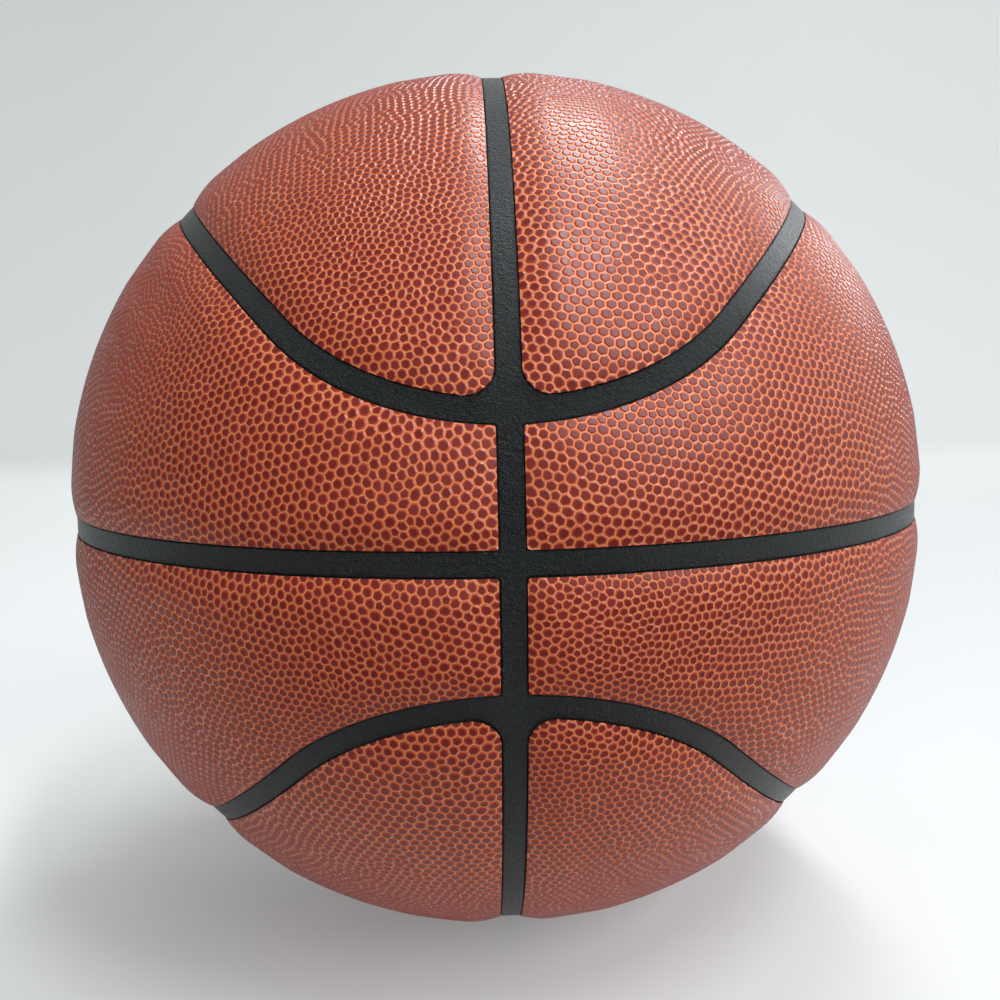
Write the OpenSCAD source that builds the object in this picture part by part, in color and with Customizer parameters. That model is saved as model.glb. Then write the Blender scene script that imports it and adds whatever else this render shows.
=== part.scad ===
// Basketball built in layers: a bladder with its valve, a winding of thread,
// a rubber carcass with raised ribs, and foam pads and cover panels between the ribs.
// The origin is the middle of the ball. +Z is up, and -Y faces the viewer.
// The level rib lies in the plane z = 0 and the upright rib in the plane x = 0.

/* [Ball] */
// Diameter over the middle of the cover panels
ball_d = 242; // [180:1:260]
// Film of glue between two layers
glue_t = 0.1; // [0.05:0.05:0.2]

/* [Cover and pads] */
// Thickness of a cover panel
cover_t = 1.4; // [0.8:0.1:2]
// Thickness of a foam pad away from its edges
pad_t = 2.2; // [1.8:0.1:4]
// How far a panel rolls down from its crown to its edge
roll_drop = 1.6; // [0.6:0.1:2]
// Width of the band along the edge that rolls down
roll_w = 7; // [4:0.5:12]
// Radius of the rounded corners of a cap panel
corner_r = 5.8; // [3:0.1:9]
// Open gap between a panel's edge and the rib beside it
edge_gap = 0.15; // [0.1:0.05:0.4]

/* [Ribs] */
// Width of the ribs
rib_w = 5.3; // [4:0.1:8]
// How far the top of the ribs lies below the crown of the panels
rib_sink = 1.8; // [1:0.1:2.6]
// Latitude at which the curved ribs cross the upright rib
cross_lat = 14.2; // [11:0.1:18]
// Latitude of the curved ribs at the left and right sides
side_lat = 45; // [40:0.5:50]

/* [Carcass, winding and bladder] */
// Thickness of the rubber carcass under the pads
carcass_t = 1.1; // [0.8:0.1:2]
// Thickness of the thread winding
winding_t = 0.7; // [0.5:0.1:1.5]
// Thickness of the bladder
bladder_t = 0.8; // [0.6:0.1:1.6]

/* [Valve] */
// Diameter of the round boss on the ribs that surrounds the valve
boss_d = 12; // [10:0.5:16]
// Diameter of the valve plug
plug_d = 5; // [4:0.1:6]
// How far the plug's face lies below the top of the boss
plug_sink = 0.4; // [0.2:0.1:1]
// Length of the plug above the bulb at its inner end
plug_l = 20; // [18:1:30]
// Diameter of the bulb that holds the plug in
bulb_d = 7.4; // [6.5:0.1:8.5]
// Length of the bulb
bulb_l = 4; // [3:0.5:6]
// Diameter of the needle channel in the plug
needle_d = 2; // [1.5:0.1:2.5]
// Depth of the needle channel
needle_l = 15; // [10:1:17]
// Outer diameter of the valve housing's neck
neck_d = 9; // [8:0.1:10]
// Running clearance around the plug and around the neck
valve_gap = 0.1; // [0.05:0.05:0.2]
// Diameter of the housing's flange inside the bladder
flange_d = 26; // [18:1:40]
// Thickness of the housing's flange
flange_t = 1.2; // [0.8:0.1:2]

/* [Hidden] */
$fn = 96;

// The four quarters of the ball, each as its name and the mirrors that it takes
QUARTERS = [
    ["upper_left", false, false],
    ["upper_right", true, false],
    ["lower_left", false, true],
    ["lower_right", true, true]
];

// Nodes that each quarter has one of, and all nodes
QUARTERED = ["cap_pad_", "belt_pad_", "cap_cover_", "belt_cover_"];

// Radii of the layers, from the outside in
ball_r = ball_d / 2;
rib_r = ball_r - rib_sink;
cover_under_r = ball_r - cover_t;
pad_r = cover_under_r - glue_t;
pad_under_r = pad_r - pad_t;
carcass_r = pad_under_r - glue_t;
carcass_in_r = carcass_r - carcass_t;
winding_r = carcass_in_r - glue_t;
winding_in_r = winding_r - winding_t;
bladder_r = winding_in_r - glue_t;
bladder_in_r = bladder_r - bladder_t;

// Radii at which the solids that bound a panel begin and end, inside and outside every layer
core_share = 0.6;
far_share = 1.5;
core_r = core_share * ball_r;
far_r = far_share * ball_r;

// Length by which a cut runs past the face that it opens
cut_over = 1;

// Step left where an arc blends into the straight edge beside it
blend_step = 0.02;

// Turn that takes a sphere's poles and seam out of the upper left quarter
seam_turn = 45;

// Angle that a length takes on the ball's surface
function span_angle(length) = length / ball_r * 180 / PI;

// Distance from the middle of a rib to the edge of the panel beside it
edge_w = rib_w / 2 + edge_gap;
edge_a = span_angle(edge_w);
roll_a = span_angle(roll_w);
blend_a = span_angle(blend_step);

// A curved rib is half of a tilted great circle at each side, joined in front and behind
// by an arc of this angular radius, which has its middle on the upright rib
arc_a = atan(sin(cross_lat) * cos(side_lat) / (1 - cos(cross_lat) * cos(side_lat)));
arc_lat = cross_lat + arc_a;

// Half of the great circle's turn, up to the point where the arc takes over
side_half_turn = atan2(cos(arc_lat), sin(arc_lat) * sin(side_lat));

// Turn by which an arc of angular radius arc_a has left its tangent by the blend step
lap_turn = acos((arc_a - blend_a) / arc_a) * sin(arc_a);

// Place of a rounded corner's middle, seen from the middle of the arc
corner_in_a = span_angle(rib_w / 2 + corner_r);
corner_away_a = arc_a - corner_in_a;
corner_turn = asin(sin(corner_in_a) / sin(corner_away_a));
corner_spread = acos(-tan(corner_in_a) / tan(corner_away_a));

// Direction at an angle from an outline's axis
function ray(a) = [sin(a), cos(a)];

// Outline of a solid that holds every direction within an angle of its axis.
// A roll above 0 slopes its rim inwards, up to the crown radius, and one below 0 outwards.
// A tail of 0 stands the slope on a straight wall, and a tail of 1 runs it on past that wall.
function outline(a, roll, crown_r, tail) =
    let (
        edge = (crown_r - (roll == 0 ? 0 : roll_drop)) * ray(a),
        slope = crown_r * ray(a - roll) - edge
    )
    [
        core_r * ray(0), core_r * ray(a + tail * roll),
        if (roll != 0) each [edge - tail * slope, edge + 2 * slope],
        far_r * ray(a - 2 * roll), far_r * ray(a / 2), far_r * ray(0)
    ];

// Everything beyond a distance to the left of the upright rib's middle
module left_side(distance) {
    translate([-far_r - distance, -far_r, -far_r])
        cube([far_r, 2 * far_r, 2 * far_r]);
}

// Everything beyond a distance above the level rib's middle
module upper_side(distance) {
    translate([-far_r, -far_r, distance])
        cube([2 * far_r, 2 * far_r, far_r]);
}

// What the roll of a panel's edge takes off beside a straight rib that lies in the plane z = 0
module straight_roll(crown_r) {
    edge = (crown_r - roll_drop) * ray(90 - edge_a);
    slope = crown_r * ray(90 - edge_a - roll_a) - edge;
    low = edge - slope;
    high = edge + 2 * slope;
    rotate_extrude()
        polygon([low, high, [far_r, high[1]], [far_r, low[1]]]);
}

// Everything inside the left half of the upper curved rib, grown by an angle
module oval(grow, roll = 0, crown_r = 0, tail = 0) {
    side_turn = side_half_turn - lap_turn;
    for (side = [0, 1])
        mirror([0, side, 0])
            rotate([90 - arc_lat, 0, 0])
                rotate_extrude()
                    polygon(outline(arc_a + grow, roll, crown_r, tail));
    rotate([0, side_lat, 0])
        rotate([0, 0, 180 - side_turn])
            rotate_extrude(angle = 2 * side_turn)
                polygon(outline(90 + grow, roll, crown_r, tail));
}

// What a rounded corner of a cap panel takes off, in front and behind
module corner_cuts(inset) {
    reach = 2 * corner_r + rib_w;
    for (side = [0, 1])
        mirror([0, side, 0])
            rotate([90 - arc_lat, 0, 0])
                rotate([0, corner_away_a, -90 - corner_turn])
                    difference() {
                        linear_extrude(height = far_r)
                            polygon([
                                [0, 0],
                                [reach, 0],
                                [reach * (1 + cos(corner_spread)), reach * sin(corner_spread)],
                                [reach * cos(corner_spread), reach * sin(corner_spread)]
                            ]);
                        rotate_extrude()
                            polygon(outline(corner_in_a - inset - blend_a, 0, 0, 0));
                    }
}

// The part of a shell that lies in the upper left cap. Its walls stand at a distance from
// the middle of the ribs, and its top rolls down to the panel's edge where there is a roll.
// With a tail of 1 the roll runs on to the wall, as a panel's underside needs.
module cap(out_r, in_r, wall, roll = 0, tail = 0) {
    difference() {
        intersection() {
            intersection() {
                shell(out_r, in_r);
                left_side(wall);
            }
            oval(tail == 0 ? -span_angle(wall) : -edge_a, roll, out_r, tail);
        }
        if (roll > 0)
            rotate([0, -90, 0])
                straight_roll(out_r);
        if (tail == 0)
            corner_cuts(span_angle(wall));
    }
}

// The part of a shell that lies in the upper left belt, in the same way
module belt(out_r, in_r, wall, roll = 0, tail = 0) {
    difference() {
        intersection() {
            shell(out_r, in_r);
            left_side(wall);
            upper_side(wall);
        }
        oval(tail == 0 ? span_angle(wall) : edge_a, -roll, out_r, tail);
        if (roll > 0) {
            straight_roll(out_r);
            rotate([0, -90, 0])
                straight_roll(out_r);
        }
        if (tail == 0)
            on_valve_axis()
                cylinder(h = far_r, r = boss_d / 2 + wall - rib_w / 2);
    }
}

module in_quarter(quarter) {
    mirror([quarter[1] ? 1 : 0, 0, 0])
        mirror([0, 0, quarter[2] ? 1 : 0])
            children();
}

// Along the valve's axis, from the middle of the ball outwards
module on_valve_axis() {
    rotate([-90, 0, 0])
        children();
}

// A hollow ball whose poles and seam lie outside the upper left quarter
module shell(out_r, in_r) {
    rotate([0, seam_turn, 0])
        difference() {
            sphere(r = out_r);
            sphere(r = in_r);
        }
}

module holed_shell(out_r, in_r) {
    difference() {
        shell(out_r, in_r);
        on_valve_axis()
            cylinder(h = far_r, d = neck_d + 2 * valve_gap);
    }
}

module bladder() {
    color("#1c1c1e")
        holed_shell(bladder_r, bladder_in_r);
}

module winding() {
    color("#d8d2c0")
        holed_shell(winding_r, winding_in_r);
}

module carcass() {
    color("#2b2b2d")
        holed_shell(carcass_r, carcass_in_r);
}

// The ribs in the upper left quarter of the ball
module rib_quarter() {
    difference() {
        intersection() {
            shell(rib_r, carcass_r);
            left_side(0);
            upper_side(0);
        }
        cap(ball_r, carcass_in_r, rib_w / 2);
        belt(ball_r, carcass_in_r, rib_w / 2);
    }
}

module rib_net() {
    color("#232628")
        difference() {
            for (quarter = QUARTERS)
                in_quarter(quarter)
                    rib_quarter();
            on_valve_axis()
                cylinder(h = far_r, d = plug_d + 2 * valve_gap);
        }
}

module cap_pad() {
    color("#e6c34a")
        cap(pad_r, pad_under_r, edge_w, roll_a);
}

module belt_pad() {
    color("#e6c34a")
        belt(pad_r, pad_under_r, edge_w, roll_a);
}

module cap_cover() {
    color("#9a3a20")
        difference() {
            cap(ball_r, carcass_r, edge_w, roll_a);
            cap(cover_under_r, carcass_in_r, 0, roll_a, 1);
        }
}

module belt_cover() {
    color("#9a3a20")
        difference() {
            belt(ball_r, carcass_r, edge_w, roll_a);
            belt(cover_under_r, carcass_in_r, 0, roll_a, 1);
        }
}

// A flange glued inside the bladder, with a neck out to the boss and a sleeve around the plug
module valve_housing() {
    flange_r = bladder_in_r - glue_t;
    neck_top = carcass_r - valve_gap;
    neck_foot = rib_r - plug_sink - plug_l;
    color("#303033")
        difference() {
            union() {
                intersection() {
                    shell(flange_r, flange_r - flange_t);
                    on_valve_axis()
                        cylinder(h = far_r, d = flange_d);
                }
                on_valve_axis()
                    translate([0, 0, neck_foot])
                        cylinder(h = neck_top - neck_foot, d = neck_d);
            }
            on_valve_axis()
                cylinder(h = far_r, d = plug_d + 2 * valve_gap);
        }
}

// A soft plug with a needle channel from its face and a bulb under the sleeve
module valve_plug() {
    face = rib_r - plug_sink;
    bulb_top = face - plug_l - valve_gap;
    color("#151516")
        on_valve_axis()
            difference() {
                union() {
                    translate([0, 0, bulb_top - bulb_l / 2])
                        cylinder(h = face - bulb_top + bulb_l / 2, d = plug_d);
                    translate([0, 0, bulb_top - bulb_l])
                        cylinder(h = bulb_l, d = bulb_d);
                }
                translate([0, 0, face - needle_l])
                    cylinder(h = needle_l + cut_over, d = needle_d);
            }
}

bladder();
valve_housing();
valve_plug();
winding();
carcass();
rib_net();
for (quarter = QUARTERS) {
    in_quarter(quarter) cap_pad();
    in_quarter(quarter) belt_pad();
    in_quarter(quarter) cap_cover();
    in_quarter(quarter) belt_cover();
}
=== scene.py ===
"""Basketball: pebbled cover panels, foam pads, rubber ribs and a valve around the CAD frame."""
import math
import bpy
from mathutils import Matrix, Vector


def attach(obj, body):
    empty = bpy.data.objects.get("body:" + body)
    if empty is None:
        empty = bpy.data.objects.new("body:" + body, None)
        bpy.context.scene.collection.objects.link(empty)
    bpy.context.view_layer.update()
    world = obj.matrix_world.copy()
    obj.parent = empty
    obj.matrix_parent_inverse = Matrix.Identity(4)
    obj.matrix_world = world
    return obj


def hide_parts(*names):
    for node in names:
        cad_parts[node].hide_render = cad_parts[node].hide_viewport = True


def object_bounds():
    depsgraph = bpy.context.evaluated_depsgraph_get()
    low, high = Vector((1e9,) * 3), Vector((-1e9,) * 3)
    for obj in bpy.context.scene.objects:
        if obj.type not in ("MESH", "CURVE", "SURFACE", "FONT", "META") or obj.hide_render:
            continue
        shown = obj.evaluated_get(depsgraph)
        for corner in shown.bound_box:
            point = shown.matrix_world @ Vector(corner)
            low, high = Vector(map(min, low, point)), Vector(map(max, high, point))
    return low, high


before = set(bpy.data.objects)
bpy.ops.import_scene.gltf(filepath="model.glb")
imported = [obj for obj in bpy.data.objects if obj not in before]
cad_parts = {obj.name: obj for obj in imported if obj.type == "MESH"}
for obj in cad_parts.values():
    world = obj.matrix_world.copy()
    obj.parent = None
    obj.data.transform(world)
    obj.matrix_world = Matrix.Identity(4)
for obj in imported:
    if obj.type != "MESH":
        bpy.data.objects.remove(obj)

from types import SimpleNamespace

import bmesh
import bpy
import numpy as np
from mathutils import Matrix, Quaternion, Vector

bl_info = {
    "name": "Layered Basketball",
    "version": (1, 0, 0),
    "blender": (4, 5, 0),
    "location": "3D View > Sidebar > Basketball",
    "description": "Builds the cover panels, pads, ribs and valve of a basketball around its CAD frame",
    "category": "Mesh",
}

MM = 0.001
BODY = "root"
CAD_LOW, CAD_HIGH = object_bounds()

# The kinds of panels, and the quarters of the ball, each as its name and the signs of its x and z
KINDS = ("cap", "belt")
QUARTERS = (
    ("upper_left", -1, 1),
    ("upper_right", 1, 1),
    ("lower_left", -1, -1),
    ("lower_right", 1, -1),
)

# Levels of the icospheres for the faces that are seen and for the hidden ones, and the count of
# the first one's vertices
FINE_LEVEL = 7
COARSE_LEVEL = 6
FINE_COUNT = 10 * 4 ** (FINE_LEVEL - 1) + 2

# Lengths over which the rows of pebbles turn, and over which the leather's creases come and go
SWIRL_LENGTH = 12 * MM
CREASE_LENGTH = 8 * MM

# Vertices this near to a cut are taken as lying on it, so that it leaves no slivers
CUT_TOLERANCE = 0.02 * MM

# Where the rounding of a rib's rim is cut, as shares of its width
RIM_STEPS = (0, 0.07, 0.25, 0.6, 1, 1.4)

# Vent pits, as the x and z of their directions from the ball's middle
VENT_PLACES = ((-0.0005, 0.220), (-0.006, -0.018), (-0.552, 0.552), (-0.433, 0.423))
VENT_RADIUS = 0.2 * MM
VENT_DEPTH = 0.6 * MM

# Brightness of the surroundings behind the camera, and beside and behind the ball
DARK_ROOM = 0.06
WHITE_WALLS = 0.9

# How bright the camera sees whatever sheds little light
PALE = 0.75

# Where the floor turns from dark to white in front of the ball, and how much painted light the
# backdrop's glow adds, as the camera and the ball's gloss see it, near the ball and at the back
DARK_FLOOR = (-0.20, -0.09)
GLOW = (0.15, 0.54)


# Sizes and colours that a user would change

def a_length(name, description, default):
    """A length, with its default in millimetres."""
    return bpy.props.FloatProperty(
        name=name, description=description, default=default * MM, unit="LENGTH")


def an_angle(name, description, default):
    """An angle, with its default in degrees."""
    return bpy.props.FloatProperty(
        name=name, description=description, default=math.radians(default),
        subtype="ANGLE", unit="ROTATION")


def a_share(name, description, default):
    """A share from 0 to 1."""
    return bpy.props.FloatProperty(
        name=name, description=description, default=default, subtype="FACTOR", min=0, max=1)


def a_colour(name, description, default):
    """A colour in linear light."""
    return bpy.props.FloatVectorProperty(
        name=name, description=description, default=default, subtype="COLOR", size=3, min=0, max=1)


class BallSizes(bpy.types.PropertyGroup):
    ball_radius: a_length("Ball radius", "Radius over the crown of the panels", 121)
    rib_radius: a_length("Rib radius", "Radius over the top of the ribs", 119.2)
    carcass_radius: a_length("Carcass radius", "Outer radius of the carcass that the ribs stand on", 117.2)
    rib_width: a_length("Rib width", "Width of the ribs", 5.3)
    rib_edge: a_length("Rib edge", "Radius of the rounded edges of the ribs", 0.42)
    edge_gap: a_length("Edge gap", "Open gap between a panel's edge and the rib beside it", 0.15)
    corner_radius: a_length("Corner radius", "Radius of the rounded corners of the end panels", 5.8)
    small_corner: a_length("Small corner", "Radius of the rounded corners of the middle panels", 0.8)
    cross_latitude: an_angle(
        "Crossing latitude", "Latitude at which the curved ribs cross the upright rib", 14.2)
    side_latitude: an_angle("Side latitude", "Latitude of the curved ribs at the ball's left and right", 45)
    roll_drop: a_length("Roll drop", "How far a panel rolls down from its crown to its edge", 1.6)
    roll_width: a_length("Roll width", "Width of the band along the edge that rolls down", 9)
    crease_depth: a_length("Crease depth", "Depth of the slight hollows beside a panel's edge", 0.6)
    cover_thickness: a_length("Cover thickness", "Thickness of a cover panel", 1.4)
    glue_film: a_length("Glue film", "Film of glue between two layers", 0.1)


class PebbleSizes(bpy.types.PropertyGroup):
    spacing: a_length("Spacing", "Mean distance from one pebble to the next", 2.18)
    relief: a_length("Relief", "Height of the pebbles above the valleys between them", 0.3)
    slope_width: a_length(
        "Slope width", "Width of the slope between a pebble's flat top and the valley", 0.42)
    unevenness: a_share(
        "Unevenness", "Share of the spacing by which a pebble strays from its even place", 0.38)
    swirl: a_length("Swirl", "How far the rows of pebbles are drawn into curves", 1.1)
    evenness: a_share("Evenness", "Share of their differences in size that the flat tops lose", 0.55)
    roundness: a_share(
        "Roundness", "How round the flat tops are, from 0 for straight sides to 1 for a circle", 0.22)


class ValveSizes(bpy.types.PropertyGroup):
    boss_diameter: a_length(
        "Boss diameter", "Diameter of the round boss on the ribs that surrounds the valve", 12)
    hole_diameter: a_length("Hole diameter", "Diameter of the hole in the boss for the plug", 5.2)
    plug_diameter: a_length("Plug diameter", "Diameter of the valve plug", 5)
    plug_sink: a_length("Plug sink", "How far the plug's face lies below the top of the boss", 0.4)
    plug_length: a_length("Plug length", "Length of the plug above its bulb", 20)
    bulb_diameter: a_length("Bulb diameter", "Diameter of the bulb that holds the plug in", 7.4)
    bulb_length: a_length("Bulb length", "Length of the bulb", 4)
    needle_diameter: a_length("Needle diameter", "Diameter of the needle channel in the plug", 2)
    needle_depth: a_length("Needle depth", "Depth of the needle channel", 15)


class Colours(bpy.types.PropertyGroup):
    pebble_top: a_colour("Pebble top", "Colour of the pebbles' flat tops", (0.165, 0.019, 0.016))
    valley: a_colour("Valley", "Colour of the valleys between the pebbles", (0.72, 0.25, 0.108))
    slope: a_colour(
        "Slope", "Colour of the slopes just below the pebbles' flat tops", (0.37, 0.047, 0.017))
    rubber: a_colour("Rubber", "Colour of the ribs", (0.0042, 0.0048, 0.0054))
    foam: a_colour("Foam", "Colour of the foam pads", (0.72, 0.55, 0.16))
    thread: a_colour("Thread", "Colour of the winding", (0.70, 0.66, 0.55))
    backdrop: a_colour("Backdrop", "Colour of the floor and the backdrop", (0.63, 0.64, 0.64))


# Where the ribs and the panels' edges lie

def corner_circle(sizes, arc, radius_at_corner, outside):
    """Middle of the circle that rounds a corner between the upright rib and the front arc,
    and its distance over the ball from the middle line of both."""
    reach = sizes.rib_width / 2 + radius_at_corner
    turned_in = reach / sizes.ball_radius
    turned_away = arc + (turned_in if outside else -turned_in)
    turn = math.asin(math.sin(turned_in) / math.sin(turned_away))
    return Vector((
        -math.sin(turned_away) * math.sin(turn),
        -math.sin(turned_away) * math.cos(turn),
        math.cos(turned_away))), reach


def round_corner(middle, reach, edge_axes, tip):
    """A rounded corner: its circle, and the normals of the two planes between which it is the edge."""
    gates = [middle.cross(axis) for axis in edge_axes]
    directions = [gate * math.copysign(1, gate.dot(tip)) for gate in gates]
    return SimpleNamespace(middle=middle, reach=reach, directions=directions)


def tight_corner(middle, reach, first, last):
    """A corner rounded too tightly for a circle: its middle, and directions from there towards its
    edge, between the one that points to a first axis and the one that points to a last axis."""
    first, last = [(axis - axis.dot(middle) * middle).normalized() for axis in (first, last)]
    directions = [first.slerp(last, share) for share in (0.25, 0.5, 0.75)]
    return SimpleNamespace(middle=middle, reach=reach, directions=directions)


def rib_layout(sizes):
    """Directions and angles of the ribs in the upper left quarter, worked out as in the CAD source."""
    cross, side = sizes.cross_latitude, sizes.side_latitude
    arc = math.atan(math.sin(cross) * math.cos(side) / (1 - math.cos(cross) * math.cos(side)))
    latitude = cross + arc
    front = Vector((0, -math.cos(latitude), math.sin(latitude)))
    pole = Vector((math.sin(side), 0, math.cos(side)))
    crossing = Vector((0, -math.cos(cross), math.sin(cross)))
    to_front = Matrix.Rotation(math.pi / 2 - latitude, 3, "X")
    across = Vector((1, 0, 0))
    cap_middle, cap_reach = corner_circle(sizes, arc, sizes.corner_radius, outside=False)
    belt_middle, belt_reach = corner_circle(sizes, arc, sizes.small_corner, outside=True)
    small = math.sin(belt_reach / sizes.ball_radius)
    level_middle = Vector((-small, -math.sqrt(1 - 2 * small ** 2), small))
    return SimpleNamespace(
        arc=arc * sizes.ball_radius, front=front, pole=pole, front_gate=pole.cross(front),
        cap_corner=round_corner(to_front @ cap_middle, cap_reach, (across, front), crossing),
        belt_corner=tight_corner(to_front @ belt_middle, belt_reach, across, front),
        level_corner=tight_corner(level_middle, belt_reach, across, Vector((0, 0, -1))))


class BallPanel:
    """One panel of the ball: its kind, the signs of its quarter, and what shapes its outline. The
    outline is worked out for the upper left quarter, where mirror takes a point of this quarter."""

    def __init__(self, kind, signs, sizes, valve):
        self.kind = kind
        self.signs = signs
        self.sizes = sizes
        self.valve = valve
        self.layout = rib_layout(sizes)
        self.radius = sizes.ball_radius
        self.mirror = np.array((-signs[0], 1, signs[1]), float)

    def middle(self):
        """The direction of the panel's middle."""
        latitude = math.radians(62 if self.kind == "cap" else 24)
        return Vector((self.signs[0] * math.cos(latitude), 0, self.signs[1] * math.sin(latitude)))


def all_panels(sizes, valve):
    """Each panel's kind, the name of its quarter, and the panel."""
    for quarter, *signs in QUARTERS:
        for kind in KINDS:
            yield kind, quarter, BallPanel(kind, signs, sizes, valve)


def behind(direction):
    """The same direction behind the ball."""
    return Vector((direction.x, -direction.y, direction.z))


def corner_behind(corner):
    """The same rounded corner behind the ball."""
    directions = [behind(direction) for direction in corner.directions]
    return SimpleNamespace(middle=behind(corner.middle), reach=corner.reach, directions=directions)


def away(points, axis, radius):
    """Distance over the ball from an axis to each of some unit vectors."""
    return np.arccos(np.clip(points @ np.array(axis), -1, 1)) * radius


def oval_walls(points, layout, radius):
    """Distances into the oval of the upper curved rib, one per arc, each only where that arc is next."""
    in_front = points @ np.array(layout.front_gate) > 0
    at_back = points @ np.array(behind(layout.front_gate)) > 0
    side = math.pi / 2 * radius - away(points, layout.pole, radius)
    front = layout.arc - away(points, layout.front, radius)
    back = layout.arc - away(points, behind(layout.front), radius)
    return [
        (layout.pole, math.pi / 2 * radius, np.where(in_front | at_back, np.nan, side)),
        (layout.front, layout.arc, np.where(in_front, front, np.nan)),
        (behind(layout.front), layout.arc, np.where(at_back & ~in_front, back, np.nan)),
    ]


def panel_walls(panel, points, wall):
    """The circles that bound a panel of the upper left quarter, at a distance from the ribs' middle.
    Each is its axis, its radius over the ball, and each point's distance inside the panel from it."""
    radius, layout = panel.radius, panel.layout
    quarter_turn = math.pi / 2 * radius
    left = Vector((-1, 0, 0))
    up = Vector((0, 0, 1))
    valve_axis = Vector((0, 1, 0))
    oval = oval_walls(points, layout, radius)
    straight = [(left, quarter_turn - wall, quarter_turn - away(points, left, radius) - wall)]
    corners = []
    if panel.kind == "cap":
        corners = [layout.cap_corner, corner_behind(layout.cap_corner)]
        straight += [(axis, reach - wall, inside - wall) for axis, reach, inside in oval]
    else:
        boss = panel.valve.boss_diameter / 2 + wall - panel.sizes.rib_width / 2
        straight += [
            (up, quarter_turn - wall, quarter_turn - away(points, up, radius) - wall),
            (valve_axis, boss, away(points, valve_axis, radius) - boss),
        ]
        straight += [(axis, reach + wall, -inside - wall) for axis, reach, inside in oval]
        for corner in (layout.belt_corner, corner_behind(layout.belt_corner), layout.level_corner):
            straight += tight_corner_walls(corner, points, radius, wall)
    walls = []
    rounded = np.zeros(len(points), bool)
    for corner in corners:
        in_corner = np.all([points @ np.array(gate) > 0 for gate in corner.directions], axis=0)
        in_corner &= points @ np.array(corner.middle) > 0
        rounded |= in_corner
        reach = corner.reach - wall
        inside = reach - away(points, corner.middle, radius)
        walls.append((corner.middle, reach, np.where(in_corner, inside, np.nan)))
    return walls + [(axis, reach, np.where(rounded, np.nan, inside)) for axis, reach, inside in straight]


def tight_corner_walls(corner, points, radius, wall):
    """Straight walls that each touch a tight corner's circle, in use only near the corner."""
    angle = (corner.reach - wall) / radius
    quarter_turn = math.pi / 2 * radius
    close = away(points, corner.middle, radius) < 4 * corner.reach
    walls = []
    for outward in corner.directions:
        inner_pole = corner.middle * math.sin(angle) - outward * math.cos(angle)
        inside = quarter_turn - away(points, inner_pole, radius)
        walls.append((inner_pole, quarter_turn, np.where(close, inside, np.nan)))
    return walls


def nearest_wall(walls):
    """Each point's distance inside a panel from the wall that is nearest to it."""
    return np.nanmin(np.array([inside for _, _, inside in walls]), axis=0)


def inside_panel(points, panel, wall):
    """Distance of unit vectors inside a panel of any quarter."""
    return nearest_wall(panel_walls(panel, points * panel.mirror, wall))


def soft_least(a, b, width):
    """The lesser of two values, with the change from one to the other rounded over a width."""
    share = np.clip(0.5 + 0.5 * (b - a) / width, 0, 1)
    return b + (a - b) * share - width * share * (1 - share)


def rolled_distance(panel, points, wall):
    """Distance inside a panel of the upper left quarter from its edge, with its corners rounded off,
    for the roll of the edge."""
    sizes, radius = panel.sizes, panel.radius
    corner_softness = 6.5 * MM if panel.kind == "cap" else 4 * MM
    upright = math.pi / 2 * radius - away(points, (-1, 0, 0), radius) - wall
    oval = nearest_wall(oval_walls(points, panel.layout, radius))
    if panel.kind == "cap":
        return soft_least(upright, oval - wall, corner_softness)
    level = math.pi / 2 * radius - away(points, (0, 0, 1), radius) - wall
    boss = away(points, (0, 1, 0), radius) - panel.valve.boss_diameter / 2 - wall + sizes.rib_width / 2
    straight = soft_least(upright, level, corner_softness)
    return soft_least(soft_least(straight, -oval - wall, corner_softness), boss, corner_softness)


def swell(directions, length, radius):
    """A soft random wave over the ball, from -1 to 1, the same for every layer of a panel."""
    dice = np.random.default_rng(5)
    total = np.zeros(len(directions))
    waves = 7
    for _ in range(waves):
        wave = dice.normal(size=3) * radius / length
        total += np.sin(directions @ wave + dice.uniform(0, 2 * math.pi))
    return total / waves


def roll(directions, distance, sizes):
    """How far a panel lies below its crown, at a distance from its edge: the roll of the edge,
    and the slight creases and hollows that the stretched leather has beside it."""
    share = np.clip(distance / sizes.roll_width, 0, 1)
    drop = sizes.roll_drop * (1 - share) ** 2
    crease_band = 2.4 * sizes.roll_width
    band = np.clip(distance / crease_band, 0, 1)
    crease = (4 * band * (1 - band)) * (1 + swell(directions, CREASE_LENGTH, sizes.ball_radius)) / 2
    return drop + sizes.crease_depth * crease


# Meshes on the ball

def coordinates(vertices):
    """Places of vertices as rows of an array."""
    return np.array([v.co for v in vertices], float).reshape(-1, 3)


def middles(faces):
    """Middles of faces as rows of an array."""
    return np.array([f.calc_center_median() for f in faces], float).reshape(-1, 3)


def unit(points):
    """Rows of an array as unit vectors."""
    return points / np.linalg.norm(points, axis=1)[:, None]


def place(vertices, points):
    """Moves vertices to the rows of an array."""
    for vertex, point in zip(vertices, points):
        vertex.co = point


def new_vertices(made):
    """The vertices among what a bmesh operator made."""
    return [item for item in made if isinstance(item, bmesh.types.BMVert)]


def cut_round(bm, axis, reach, radius, faces):
    """Cuts faces along the circle at a distance over the ball from an axis."""
    edges = {e for f in faces for e in f.edges}
    vertices = {v for f in faces for v in f.verts}
    angle = reach / radius
    bmesh.ops.bisect_plane(
        bm, geom=[*faces, *edges, *vertices], dist=CUT_TOLERANCE * math.sin(angle),
        plane_co=Vector(axis) * radius * math.cos(angle), plane_no=Vector(axis))


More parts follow.
